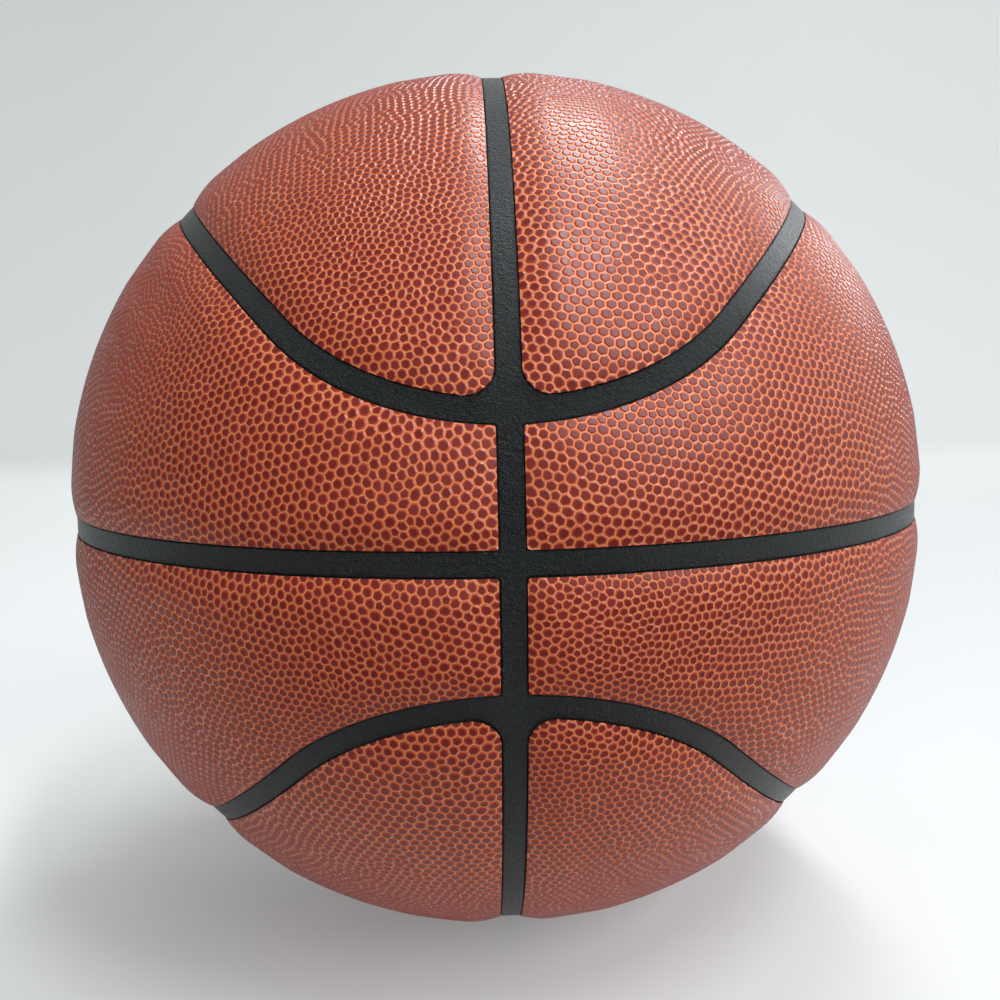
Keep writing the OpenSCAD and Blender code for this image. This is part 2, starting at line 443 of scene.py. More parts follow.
def cut_panel(bm, panel, wall, near):
    """Cuts a mesh on the ball along a panel's outline, at a distance from the ribs' middle."""
    count = len(panel_walls(panel, np.zeros((1, 3)), wall))
    for number in range(count):
        faces = list(bm.faces)
        walls = panel_walls(panel, unit(middles(faces)) * panel.mirror, wall)
        axis, reach, inside = walls[number]
        with np.errstate(invalid="ignore"):
            chosen = (np.abs(inside) < near) & (nearest_wall(walls) > -near)
        hit = [faces[i] for i in np.flatnonzero(chosen)]
        if hit:
            cut_round(bm, Vector(axis) * Vector(panel.mirror), reach, panel.radius, hit)


def face_depths(bm, panel, wall):
    """How far inside a panel the middle of each face of a mesh lies."""
    return inside_panel(unit(middles(bm.faces)), panel, wall)


def drop_faces(bm, unwanted):
    """Deletes the faces that a list of flags names, and what only they used."""
    faces = list(bm.faces)
    bmesh.ops.delete(bm, geom=[faces[i] for i in np.flatnonzero(unwanted)], context="FACES")


def keep_inside(bm, panel, wall):
    """Joins the vertices that a cut left close together, and deletes what lies outside the panel."""
    bmesh.ops.remove_doubles(bm, verts=bm.verts, dist=CUT_TOLERANCE)
    drop_faces(bm, face_depths(bm, panel, wall) < 0)
    bmesh.ops.delete(bm, geom=[v for v in bm.verts if not v.link_faces], context="VERTS")


def swirl(points, dice, size, radius):
    """Unit vectors moved over the ball along random curls, which keep their density."""
    curls = 6
    moves = np.zeros(points.shape)
    for _ in range(curls):
        wave = dice.normal(size=3) * radius / SWIRL_LENGTH
        phase = dice.uniform(0, 2 * math.pi)
        moves += np.cos(points @ wave + phase)[:, None] * np.cross(points, wave / np.linalg.norm(wave))
    return unit(points + moves * size / radius / math.sqrt(curls / 2))


def flip_long_edges(bm):
    """Turns the edges of a triangle mesh until each joins two vertices that are next to each other."""
    inner = [e for e in bm.edges if len(e.link_faces) == 2]
    bmesh.ops.beautify_fill(bm, faces=list(bm.faces), edges=inner, method="ANGLE")


def spread_out(bm, spacing):
    """Evens out the vertices of a triangle mesh, as if each edge were a spring of the same length."""
    give = 0.12
    rounds = 4
    bm.verts.index_update()
    ends = np.array([[v.index for v in e.verts] for e in bm.edges])
    free = np.array([not v.is_boundary for v in bm.verts])
    points = coordinates(bm.verts)
    for _ in range(rounds):
        apart = points[ends[:, 0]] - points[ends[:, 1]]
        length = np.linalg.norm(apart, axis=1)
        push = apart * ((spacing / length - 1) * give)[:, None]
        moves = np.zeros(points.shape)
        np.add.at(moves, ends[:, 0], push)
        np.add.at(moves, ends[:, 1], -push)
        points = unit(points + moves * free[:, None])
    place(bm.verts, points)


def even_points(panel, dice, pebbles):
    """A triangle mesh on a unit sphere over a panel and a little past its edge, with the vertices
    spread evenly but irregularly, as the pebbles' middles."""
    margin = 4 * pebbles.spacing
    rounds = 4
    bm = bmesh.new()
    bmesh.ops.create_icosphere(bm, subdivisions=FINE_LEVEL, radius=1)
    spin = Quaternion(dice.normal(size=4)).normalized()
    bmesh.ops.rotate(bm, verts=bm.verts, cent=(0, 0, 0), matrix=spin.to_matrix())
    own_spacing = math.sqrt(4 * math.pi / FINE_COUNT / math.sin(math.radians(60)))
    spacing = pebbles.spacing / panel.radius
    points = unit(coordinates(bm.verts))
    middle = np.array(panel.middle())
    along = points @ middle
    angle = np.arccos(np.clip(along, -1, 1)) * spacing / own_spacing
    across = unit(points - along[:, None] * middle)
    points = np.cos(angle)[:, None] * middle + np.sin(angle)[:, None] * across
    points = swirl(points, dice, pebbles.swirl, panel.radius)
    points = unit(points + dice.uniform(-1, 1, points.shape) * pebbles.unevenness * spacing)
    place(bm.verts, points)
    depth = inside_panel(points, panel, panel.sizes.rib_width / 2)
    vertices = list(bm.verts)
    too_far = np.flatnonzero(depth < -margin)
    bmesh.ops.delete(bm, geom=[vertices[i] for i in too_far], context="VERTS")
    flip_long_edges(bm)
    for _ in range(rounds):
        spread_out(bm, spacing)
        flip_long_edges(bm)
    return bm


def turn_into_cells(bm):
    """Gives each vertex of a triangle mesh a cell of its own, which ends half way to its neighbours."""
    split = bmesh.ops.bisect_edges(bm, edges=list(bm.edges), cuts=1)["geom_split"]
    halfway = set(new_vertices(split))
    for vertex in bm.verts:
        vertex.tag = vertex not in halfway
    centres = set(bmesh.ops.poke(bm, faces=list(bm.faces))["verts"])
    old = [v for v in bm.verts if v.tag and v not in centres and not v.is_boundary]
    bmesh.ops.dissolve_verts(bm, verts=old)


def straighten_cells(bm):
    """Moves the vertex in the middle of each side of the cells onto the line between the side's ends."""
    for vertex in bm.verts:
        if len(vertex.link_edges) == 2 and not vertex.is_boundary:
            ends = [edge.other_vert(vertex).co for edge in vertex.link_edges]
            vertex.co = (ends[0] + ends[1]) / 2


def pebble_sheet(panel, seed, pebbles, wall):
    """Pebbles with flat tops and sloping sides, all still on one sphere, cut to a panel's outline."""
    margin = 0.75 * pebbles.spacing
    dice = np.random.default_rng(seed)
    bm = even_points(panel, dice, pebbles)
    turn_into_cells(bm)
    drop_faces(bm, face_depths(bm, panel, wall) < -margin)
    place(bm.verts, unit(coordinates(bm.verts)) * panel.radius)
    straighten_cells(bm)
    tops = list(bm.faces)
    bmesh.ops.inset_individual(
        bm, faces=tops, thickness=pebbles.slope_width, depth=0, use_even_offset=True)
    rise = bm.verts.layers.float.new("rise")
    tone = bm.verts.layers.float.new("tone")
    usual = pebbles.spacing / 2 - pebbles.slope_width
    for top, shade in zip(tops, dice.uniform(0, 1, len(tops))):
        points = coordinates(top.verts)
        centre = points.mean(0)
        out = points - centre
        size = np.linalg.norm(out, axis=1)
        even = 1 + pebbles.evenness * (usual / size.mean() - 1)
        points = centre + out * even * (1 + pebbles.roundness * (size.mean() / size - 1))[:, None]
        for vertex, point in zip(top.verts, points):
            vertex.co = point
            vertex[rise] = 1
            vertex[tone] = shade
        for edge in top.edges:
            edge.smooth = False
    place(bm.verts, unit(coordinates(bm.verts)) * panel.radius)
    cut_panel(bm, panel, wall, near=1.3 * pebbles.spacing)
    keep_inside(bm, panel, wall)
    return bm


def plain_sheet(panel, wall):
    """A plain mesh on the ball's sphere, cut to a panel's outline."""
    near = 5 * MM
    bm = bmesh.new()
    bmesh.ops.create_icosphere(bm, subdivisions=COARSE_LEVEL, radius=panel.radius)
    drop_faces(bm, face_depths(bm, panel, wall) < -2 * near)
    cut_panel(bm, panel, wall, near=near)
    keep_inside(bm, panel, wall)
    return bm


def thicken(bm, bottom):
    """Makes a sheet a closed solid down to a radius, and returns the vertices of its upper side."""
    upper = new_vertices(bmesh.ops.extrude_face_region(bm, geom=list(bm.faces))["geom"])
    raised = set(upper)
    lower = [v for v in bm.verts if v not in raised]
    place(lower, unit(coordinates(lower)) * bottom)
    return upper


def sink_by_roll(vertices, radii, panel, wall):
    """Sets vertices to their radii, less the roll of the panel's edge."""
    directions = unit(coordinates(vertices))
    depth = rolled_distance(panel, directions * panel.mirror, wall)
    place(vertices, directions * (radii - roll(directions, depth, panel.sizes))[:, None])


def add_object(bm, name, materials):
    """Ends a bmesh as a smooth object of its own at the origin."""
    mesh = bpy.data.meshes.new(name)
    for face in bm.faces:
        face.smooth = True
    bm.to_mesh(mesh)
    bm.free()
    for material in materials:
        mesh.materials.append(material)
    made = bpy.data.objects.new(name, mesh)
    bpy.context.scene.collection.objects.link(made)
    return made


def add_piece(bm, name, materials):
    """Ends a bmesh as a piece of the ball, in the frame's body."""
    piece = add_object(bm, name, materials)
    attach(piece, BODY)
    return piece


def lay_out_for_baking(mesh, middle):
    """Gives a panel a map with its top face in one part and its sides and underside beside it."""
    cover_share = 0.78
    margin = 0.01
    points = np.zeros(len(mesh.vertices) * 3)
    mesh.vertices.foreach_get("co", points)
    points = unit(points.reshape(-1, 3))
    middle = np.array(middle)
    length = unit(np.cross(middle, (0, 1, 0))[None])[0]
    width = np.cross(length, middle)
    bend = np.sqrt(2 / np.clip(1 + points @ middle, 0.05, None))
    flat = np.stack([points @ width * bend, points @ length * bend], 1)
    low, high = flat.min(0), flat.max(0)
    flat = (flat - low) / (high - low)
    loops = np.zeros(len(mesh.loops), int)
    mesh.loops.foreach_get("vertex_index", loops)
    face_of_loop = np.repeat(np.arange(len(mesh.polygons)), [len(p.vertices) for p in mesh.polygons])
    slot = np.zeros(len(mesh.polygons), int)
    mesh.polygons.foreach_get("material_index", slot)
    under = slot[face_of_loop] == 1
    across = 1 - 2 * margin
    chart = flat[loops] * (across, cover_share) + (margin, margin)
    below = flat[loops] * (across, across - cover_share - 2 * margin) + (margin, cover_share + 2 * margin)
    mesh.uv_layers.new(name="OFBake")
    mesh.uv_layers["OFBake"].data.foreach_set("uv", np.where(under[:, None], below, chart).ravel())


def cover_panel(name, panel, seed, pebbles, materials):
    """A pebbled cover panel: its rolled top, its cut edge and its underside, as one closed solid."""
    sizes = panel.sizes
    wall = sizes.rib_width / 2 + sizes.edge_gap
    bm = pebble_sheet(panel, seed, pebbles, wall)
    rise = bm.verts.layers.float["rise"]
    height = np.array([v[rise] for v in bm.verts])
    sink_by_roll(list(bm.verts), sizes.ball_radius - pebbles.relief * (1 - height), panel, wall)
    under = plain_sheet(panel, wall)
    low = np.full(len(under.verts), sizes.ball_radius - sizes.cover_thickness)
    sink_by_roll(list(under.verts), low, panel, wall)
    bmesh.ops.reverse_faces(under, faces=under.faces)
    for face in under.faces:
        face.material_index = 1
    holder = bpy.data.meshes.new("underside")
    under.to_mesh(holder)
    under.free()
    bm.from_mesh(holder)
    bpy.data.meshes.remove(holder)
    rims = [e for e in bm.edges if e.is_boundary]
    side = bmesh.ops.bridge_loops(bm, edges=rims)["faces"]
    for face in side:
        face.material_index = 1
    for edge in rims:
        edge.smooth = False
    bmesh.ops.recalc_face_normals(bm, faces=bm.faces)
    piece = add_piece(bm, name, materials)
    lay_out_for_baking(piece.data, panel.middle())
    return piece


# Node groups and materials

def set_inputs(tree, node, inputs):
    """Gives inputs of a node, by label or number, a plain value or another node's socket each."""
    for key, value in inputs.items():
        if isinstance(value, bpy.types.NodeSocket):
            tree.links.new(value, node.inputs[key])
        else:
            node.inputs[key].default_value = value


def add_node(tree, kind, inputs, **settings):
    """A node with its inputs and its settings."""
    node = tree.nodes.new(kind)
    for key, value in settings.items():
        setattr(node, key, value)
    set_inputs(tree, node, inputs)
    return node


def blend_colours(tree, share, first, second):
    """The colour that lies a share of the way from a first colour to a second."""
    inputs = {0: share, 6: first, 7: second}
    return add_node(tree, "ShaderNodeMix", inputs, data_type="RGBA").outputs[2]


def remap(tree, value, low, high, to_low=0.0, to_high=1.0, smooth=False):
    """A value taken from one range to another and held inside it."""
    inputs = {"Value": value, "From Min": low, "From Max": high, "To Min": to_low, "To Max": to_high}
    return add_node(
        tree, "ShaderNodeMapRange", inputs, clamp=True,
        interpolation_type="SMOOTHSTEP" if smooth else "LINEAR").outputs["Result"]


def calculate(tree, operation, first, second):
    """The result of a sum on two values."""
    return add_node(tree, "ShaderNodeMath", {0: first, 1: second}, operation=operation).outputs[0]


def noise(tree, vector, scale, detail, roughness):
    """The value of a noise."""
    inputs = {"Vector": vector, "Scale": scale, "Detail": detail, "Roughness": roughness}
    return add_node(tree, "ShaderNodeTexNoise", inputs).outputs["Fac"]


def small_cells(tree, vector, scale):
    """Distance from the middle of the nearest of many small cells."""
    inputs = {"Vector": vector, "Scale": scale}
    return add_node(tree, "ShaderNodeTexVoronoi", inputs, feature="F1").outputs["Distance"]


def raised(tree, strength, distance, height, normal=None):
    """The normal of a surface that a height raises, on top of another normal if one is given."""
    inputs = {"Strength": strength, "Distance": distance, "Height": height}
    if normal is not None:
        inputs["Normal"] = normal
    return add_node(tree, "ShaderNodeBump", inputs).outputs["Normal"]


def group_with(name, outputs):
    """A new node group that takes a place and a scale, with those two sockets and its output node."""
    group = bpy.data.node_groups.new(name, "ShaderNodeTree")
    for label, kind in (("Vector", "NodeSocketVector"), ("Scale", "NodeSocketFloat")):
        group.interface.new_socket(label, in_out="INPUT", socket_type=kind)
    for label in outputs:
        group.interface.new_socket(label, in_out="OUTPUT", socket_type="NodeSocketFloat")
    given = group.nodes.new("NodeGroupInput").outputs
    return group, given["Vector"], given["Scale"], group.nodes.new("NodeGroupOutput")


def make_grain_group(name):
    """Fine grain of two sizes, as a height and as a mask."""
    coarse_share = 0.3
    group, vector, scale, result = group_with(name, ("Height", "Mask"))
    fine = noise(group, vector, scale, 2.0, 0.6)
    coarse = noise(group, vector, calculate(group, "MULTIPLY", scale, coarse_share), 3.0, 0.55)
    height = calculate(group, "MULTIPLY", calculate(group, "ADD", fine, coarse), 0.5)
    set_inputs(group, result, {"Height": height, "Mask": remap(group, coarse, 0.35, 0.65)})
    return group


def make_patch_group(name):
    """Broad soft patches, for the way that colour and gloss drift over a piece."""
    group, vector, scale, result = group_with(name, ("Mask",))
    mask = remap(group, noise(group, vector, scale, 4.0, 0.5), 0.3, 0.7, smooth=True)
    set_inputs(group, result, {"Mask": mask})
    return group


def use_group(tree, name, maker, vector, scale):
    """The outputs of a shared node group, which is made the first time that it is asked for."""
    group = bpy.data.node_groups.get(name) or maker(name)
    node = add_node(tree, "ShaderNodeGroup", {}, node_tree=group)
    set_inputs(tree, node, {"Vector": vector, "Scale": scale})
    return node.outputs


def use_grain(tree, vector, scale):
    """The height and the mask of the fine grain."""
    grain = use_group(tree, "Fine grain", make_grain_group, vector, scale)
    return grain["Height"], grain["Mask"]


def use_patches(tree, vector, scale):
    """The mask of the soft patches."""
    return use_group(tree, "Soft patches", make_patch_group, vector, scale)["Mask"]


def finish_surface(tree, shader, colour, roughness, normal, **inputs):
    """Gives a shader its colour, roughness and normal, and any other inputs."""
    labels = {key.replace("_", " "): value for key, value in inputs.items()}
    set_inputs(tree, shader, {"Base Color": colour, "Roughness": roughness, "Normal": normal, **labels})


def start_material(name):
    """A new material with its tree, its shader and the place on the object."""
    material = bpy.data.materials.new(name)
    material.use_nodes = True
    tree = material.node_tree
    tree.nodes.clear()
    output = tree.nodes.new("ShaderNodeOutputMaterial")
    shader = tree.nodes.new("ShaderNodeBsdfPrincipled")
    tree.links.new(shader.outputs["BSDF"], output.inputs["Surface"])
    place_on_object = tree.nodes.new("ShaderNodeTexCoord").outputs["Object"]
    return material, tree, shader, place_on_object


def with_alpha(colour, share=1.0):
    """A plain colour scaled by a share, as a node takes it."""
    return (*[channel * share for channel in colour], 1.0)


def leather_material(colours, pebbles):
    """Composite leather: dark flat tops, lighter slopes and valleys, and a fine skin all over."""
    material, tree, shader, vector = start_material("pebbled_cover")
    rise, tone = [
        add_node(tree, "ShaderNodeAttribute", {}, attribute_name=name).outputs["Fac"]
        for name in ("rise", "tone")]
    patches = use_patches(tree, vector, 26.0)
    grain, _ = use_grain(tree, vector, 4200.0)
    mottle, mottle_mask = use_grain(tree, vector, 900.0)
    top = blend_colours(
        tree, tone, with_alpha(colours.pebble_top, 0.85), with_alpha(colours.pebble_top, 1.15))
    top = blend_colours(
        tree, calculate(tree, "MULTIPLY", patches, 0.3), top, with_alpha(colours.pebble_top, 0.8))
    below_top = remap(tree, rise, 0.1, 0.55, smooth=True)
    slope = blend_colours(tree, below_top, with_alpha(colours.valley), with_alpha(colours.slope))
    darker = remap(tree, mottle_mask, 0.0, 1.0, 0.0, 0.3)
    slope = blend_colours(tree, darker, slope, with_alpha(colours.slope))
    on_top = remap(tree, rise, 0.88, 0.96, smooth=True)
    rough = remap(tree, on_top, 0.0, 1.0, 0.26, 0.35)
    rough = calculate(tree, "ADD", rough, remap(tree, tone, 0.0, 1.0, -0.03, 0.05))
    rounding = calculate(tree, "SUBTRACT", remap(tree, rise, 0.0, 1.0, smooth=True), rise)
    soft = raised(tree, 0.8, pebbles.relief, rounding)
    uneven = raised(tree, 0.6, 0.06 * MM, mottle, soft)
    skin = raised(tree, 0.3, 0.02 * MM, grain, uneven)
    finish_surface(
        tree, shader, blend_colours(tree, on_top, slope, top), rough, skin, Specular_IOR_Level=0.44)
    return material


def backing_material():
    """The cut edge and the woven underside of the cover."""
    material, tree, shader, vector = start_material("cover_backing")
    _, mask = use_grain(tree, vector, 2600.0)
    weave = small_cells(tree, vector, 1900.0)
    colour = blend_colours(
        tree, remap(tree, weave, 0.1, 0.6), (0.075, 0.05, 0.042, 1), (0.03, 0.02, 0.017, 1))
    rough = remap(tree, mask, 0.0, 1.0, 0.82, 0.95)
    finish_surface(tree, shader, colour, rough, raised(tree, 0.5, 0.1 * MM, weave))
    return material


def rubber_material(name, colour, roughness, grain_scale, bump_strength, bump_depth=0.05 * MM):
    """Moulded rubber with a fine stipple, whose light specks are partly painted glints, and soft bloom."""
    material, tree, shader, vector = start_material(name)
    height, mask = use_grain(tree, vector, grain_scale)
    bloom = use_patches(tree, vector, 45.0)
    base = blend_colours(tree, bloom, with_alpha(colour, 0.85), with_alpha(colour, 1.3))
    # Light specks: partly the rubber's own stipple, partly painted glints standing in for the lamps' sparkle
    stipple_and_glint = calculate(tree, "MULTIPLY", remap(tree, height, 0.58, 0.66), 0.6)
    rough = calculate(tree, "ADD", remap(tree, mask, 0.0, 1.0, -0.06, 0.06), roughness)
    finish_surface(
        tree, shader, blend_colours(tree, stipple_and_glint, base, with_alpha(colour, 11.0)), rough,
        raised(tree, bump_strength, bump_depth, height),
        Specular_IOR_Level=0.42, Specular_Tint=(0.92, 0.99, 1.0, 1))
    return material


def foam_material(colours):
    """Open foam: small round cells in a soft yellow, with painted shade darkening their pits."""
    material, tree, shader, vector = start_material("pad_foam")
    cells = small_cells(tree, vector, 1400.0)
    patches = use_patches(tree, vector, 60.0)
    lit = blend_colours(tree, patches, with_alpha(colours.foam, 0.92), with_alpha(colours.foam, 1.08))
    # Painted shade: the pits in the middles of the cells are darker
    colour = blend_colours(tree, remap(tree, cells, 0.15, 0.6), with_alpha(colours.foam, 0.55), lit)
    rough = remap(tree, cells, 0.1, 0.6, 0.95, 0.8)
    finish_surface(tree, shader, colour, rough, raised(tree, 0.7, 0.25 * MM, cells))
    return material


def thread_material(colours):
    """Thread wound every way around the bladder, seen as crossing bands under a latex film."""
    material, tree, shader, vector = start_material("wound_thread")
    layers = []
    for turn in ((0.3, 0.2, 0.1), (1.2, 0.4, 0.9), (0.1, 1.3, 2.1)):
        turned = add_node(tree, "ShaderNodeMapping", {"Vector": vector, "Rotation": turn})
        bands = add_node(
            tree, "ShaderNodeTexWave",
            {"Vector": turned.outputs["Vector"], "Scale": 420.0, "Distortion": 1.5, "Detail": 1.0},
            wave_type="BANDS", bands_direction="X")
        layers.append(bands.outputs["Fac"])
    crossed = calculate(tree, "MAXIMUM", calculate(tree, "MAXIMUM", layers[0], layers[1]), layers[2])
    on_thread = remap(tree, crossed, 0.5, 1.0)
    colour = blend_colours(tree, on_thread, with_alpha(colours.thread, 0.45), with_alpha(colours.thread))
    rough = remap(tree, crossed, 0.4, 1.0, 0.75, 0.45)
    finish_surface(tree, shader, colour, rough, raised(tree, 0.8, 0.2 * MM, crossed))
    return material


def backdrop_material(colours):
    """White paper lighting the ball less than the camera shows it: painted light glows on it, above all in
    front.
    """
    material, tree, shader, vector = start_material("backdrop_paper")
    x, y, z = add_node(tree, "ShaderNodeSeparateXYZ", {"Vector": vector}).outputs
    # Nearly black floor in front of the ball, so that the ball mirrors shade there
    white = remap(tree, y, *DARK_FLOOR, smooth=True)
    # Painted light: a glow, seen by the camera and in the ball's gloss, brighter towards the back, lower
    # down and to the right
    glow = remap(tree, y, 0.1, 1.7, *GLOW, smooth=True)
    for more in (remap(tree, z, 0.0, 2.0, 0.0, -0.08), remap(tree, x, -1.2, 1.2, -0.06, 0.06)):
        glow = calculate(tree, "ADD", glow, more)
    # Painted light on the floor left of the ball, for the camera only, which lightens the ball's shadow
    # there
    beside = remap(tree, x, -0.15, -0.04, 0.16, 0.0)
    for share in (remap(tree, y, -0.06, 0.02), remap(tree, y, 0.5, 2.0, 1.0, 0.0)):
        beside = calculate(tree, "MULTIPLY", beside, share)
    rays = tree.nodes.new("ShaderNodeLightPath").outputs
    glow = calculate(tree, "ADD", glow, calculate(tree, "MULTIPLY", beside, rays["Is Camera Ray"]))
    seen = calculate(tree, "ADD", rays["Is Camera Ray"], rays["Is Glossy Ray"])
    glow = calculate(tree, "MULTIPLY", glow, calculate(tree, "MULTIPLY", seen, white))
    # Painted light: the dark floor in front of the ball glows pale for the camera only
    in_front = remap(tree, y, *DARK_FLOOR, PALE, 0.0, smooth=True)
    in_front = calculate(tree, "MULTIPLY", in_front, rays["Is Camera Ray"])
    set_inputs(tree, shader, {
        "Base Color": blend_colours(tree, white, (0.02, 0.02, 0.02, 1), with_alpha(colours.backdrop)),
        "Roughness": 0.9, "Specular IOR Level": 0.1, "Emission Color": (0.96, 1.0, 0.99, 1),
        "Emission Strength": calculate(tree, "ADD", glow, in_front)})
    return material


def dress_node(name, material):
    """Gives a CAD node that stays its own material."""
    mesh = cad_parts[name].data
    mesh.materials.clear()
    mesh.materials.append(material)


# Operators, one for each group of like pieces and one for the stage

def scene_settings():
    """The scene's groups of settings: ball, pebbles, valve and colours."""
    return [getattr(bpy.context.scene, name) for name in GROUPS]


class BALL_OT_cover_panels(bpy.types.Operator):
    """Build the eight pebbled cover panels"""
    bl_idname = "basketball.cover_panels"
    bl_label = "Cover Panels"

    def execute(self, context):
        sizes, pebbles, valve, colours = scene_settings()
        materials = [leather_material(colours, pebbles), backing_material()]
        seed = 11
        for kind, quarter, panel in all_panels(sizes, valve):
            seed += 10
            piece = cover_panel(f"panel_{kind}_{quarter}", panel, seed, pebbles, materials)
            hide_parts(f"{kind}_cover_{quarter}")
        return {"FINISHED"}


class BALL_OT_foam_pads(bpy.types.Operator):
    """Build the eight foam pads under the cover panels"""
    bl_idname = "basketball.foam_pads"
    bl_label = "Foam Pads"

    def execute(self, context):
        sizes, _, valve, colours = scene_settings()
        foam = foam_material(colours)
        wall = sizes.rib_width / 2 + 3 * sizes.edge_gap
        top = sizes.ball_radius - sizes.cover_thickness - sizes.glue_film
        bottom = sizes.carcass_radius + sizes.glue_film
        for kind, quarter, panel in all_panels(sizes, valve):
            bm = plain_sheet(panel, wall)
            upper = thicken(bm, bottom)
            sink_by_roll(upper, np.full(len(upper), top), panel, wall)
            bmesh.ops.recalc_face_normals(bm, faces=bm.faces)
            piece = add_piece(bm, f"pad_{kind}_{quarter}", [foam])
            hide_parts(f"{kind}_pad_{quarter}")
        return {"FINISHED"}


def quarter_of_ribs(sizes, valve):
    """The upper side of the ribs in the upper left quarter, with rounded rims and the valve's hole."""
    radius = sizes.ball_radius
    valve_axis = Vector((0, 1, 0))
    hole = valve.hole_diameter / 2
    around_hole = 3 * hole
    half = sizes.rib_width / 2
    near = 1.4 * MM
    panels = [BallPanel(kind, (-1, 1), sizes, valve) for kind in KINDS]

    def into_rib(points):
        depths = [-inside_panel(points, panel, half) for panel in panels]
        return np.minimum(np.min(depths, axis=0), away(points, valve_axis, radius) - hole)

    bm = bmesh.new()
    bmesh.ops.create_icosphere(bm, subdivisions=FINE_LEVEL, radius=radius)
    for side in (Vector((1, 0, 0)), Vector((0, 0, -1))):
        bmesh.ops.bisect_plane(
            bm, geom=[*bm.faces, *bm.edges, *bm.verts], dist=CUT_TOLERANCE, use_snap_center=True,
            plane_co=(0, 0, 0), plane_no=side, clear_outer=True)
    drop_faces(bm, into_rib(unit(middles(bm.faces))) < -2 * near)
    around = [e for e in bm.edges if e.verts[0].co.angle(valve_axis) * radius < around_hole]
    bmesh.ops.subdivide_edges(bm, edges=around, cuts=3, use_grid_fill=True)
    place(bm.verts, unit(coordinates(bm.verts)) * radius)
    for share in RIM_STEPS:
        for panel in panels:
            cut_panel(bm, panel, half - share * sizes.rib_edge, near=near)
        faces = [f for f in bm.faces if f.calc_center_median().angle(valve_axis) * radius < around_hole]
        cut_round(bm, valve_axis, hole + share * sizes.rib_edge, radius, faces)
    bmesh.ops.remove_doubles(bm, verts=bm.verts, dist=CUT_TOLERANCE)
    drop_faces(bm, into_rib(unit(middles(bm.faces))) < 0)
    directions = unit(coordinates(bm.verts))
    rim = np.clip(1 - into_rib(directions) / sizes.rib_edge, 0, 1)
    drop = sizes.rib_edge * (1 - np.sqrt(1 - rim ** 2))
    place(bm.verts, directions * (sizes.rib_radius - drop)[:, None])
    return bm


def add_vent_pits(bm, sizes):
    """Small pits in the ribs, left by the mould's vents."""
    for x, z in VENT_PLACES:
        for y_side in (-1, 1):
            direction = Vector((x, y_side * math.sqrt(1 - x * x - z * z), z))
            spot = direction * sizes.rib_radius
            vertex = min(bm.verts, key=lambda v: (v.co - spot).length_squared)
            made = bmesh.ops.bevel(
                bm, geom=[vertex], offset=VENT_RADIUS, offset_type="OFFSET", affect="VERTICES",
                segments=1, profile=0.5)
            for edge in {edge for face in made["faces"] for edge in face.edges}:
                edge.smooth = False
            pit = bmesh.ops.extrude_discrete_faces(bm, faces=made["faces"])["faces"]
            floor = [v for face in pit for v in face.verts]
            bmesh.ops.translate(bm, verts=floor, vec=direction * -VENT_DEPTH)


class BALL_OT_rib_net(bpy.types.Operator):
    """Build the network of rubber ribs with its rounded edges, vent pits and valve boss"""
    bl_idname = "basketball.rib_net"
    bl_label = "Rib Net"

    def execute(self, context):
        sizes, _, valve, colours = scene_settings()
        bm = quarter_of_ribs(sizes, valve)
        for side in ("X", "Z"):
            bmesh.ops.mirror(
                bm, geom=[*bm.verts, *bm.edges, *bm.faces], merge_dist=CUT_TOLERANCE, axis=side)
        thicken(bm, sizes.carcass_radius)
        bmesh.ops.recalc_face_normals(bm, faces=bm.faces)
        add_vent_pits(bm, sizes)
        rubber = rubber_material("rib_rubber", colours.rubber, 0.34, 3600.0, 1.0, 1.0 * MM)
        piece = add_piece(bm, "ribs", [rubber])
        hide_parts("rib_net")
        return {"FINISHED"}


def quarter_round(middle, radius, start):
    """Points on a quarter of a circle, from a start angle on, which is 0 along the valve's axis."""
    steps = 4
    turns = [start + math.pi / 2 * step / steps for step in range(steps + 1)]
    return [(middle[0] + radius * math.sin(turn), middle[1] + radius * math.cos(turn)) for turn in turns]


def spin_outline(points, steps):
    """A closed solid from an outline of distances from the valve's axis and places along it."""
    bm = bmesh.new()
    vertices = [bm.verts.new((away_from_axis, along, 0)) for away_from_axis, along in points]
    edges = [bm.edges.new(pair) for pair in zip(vertices, vertices[1:])]
    bmesh.ops.spin(
        bm, geom=vertices + edges, cent=(0, 0, 0), axis=(0, 1, 0), angle=2 * math.pi, steps=steps,
        use_merge=True)
    bmesh.ops.remove_doubles(bm, verts=bm.verts, dist=1e-7)
    bmesh.ops.recalc_face_normals(bm, faces=bm.faces)
    return bm


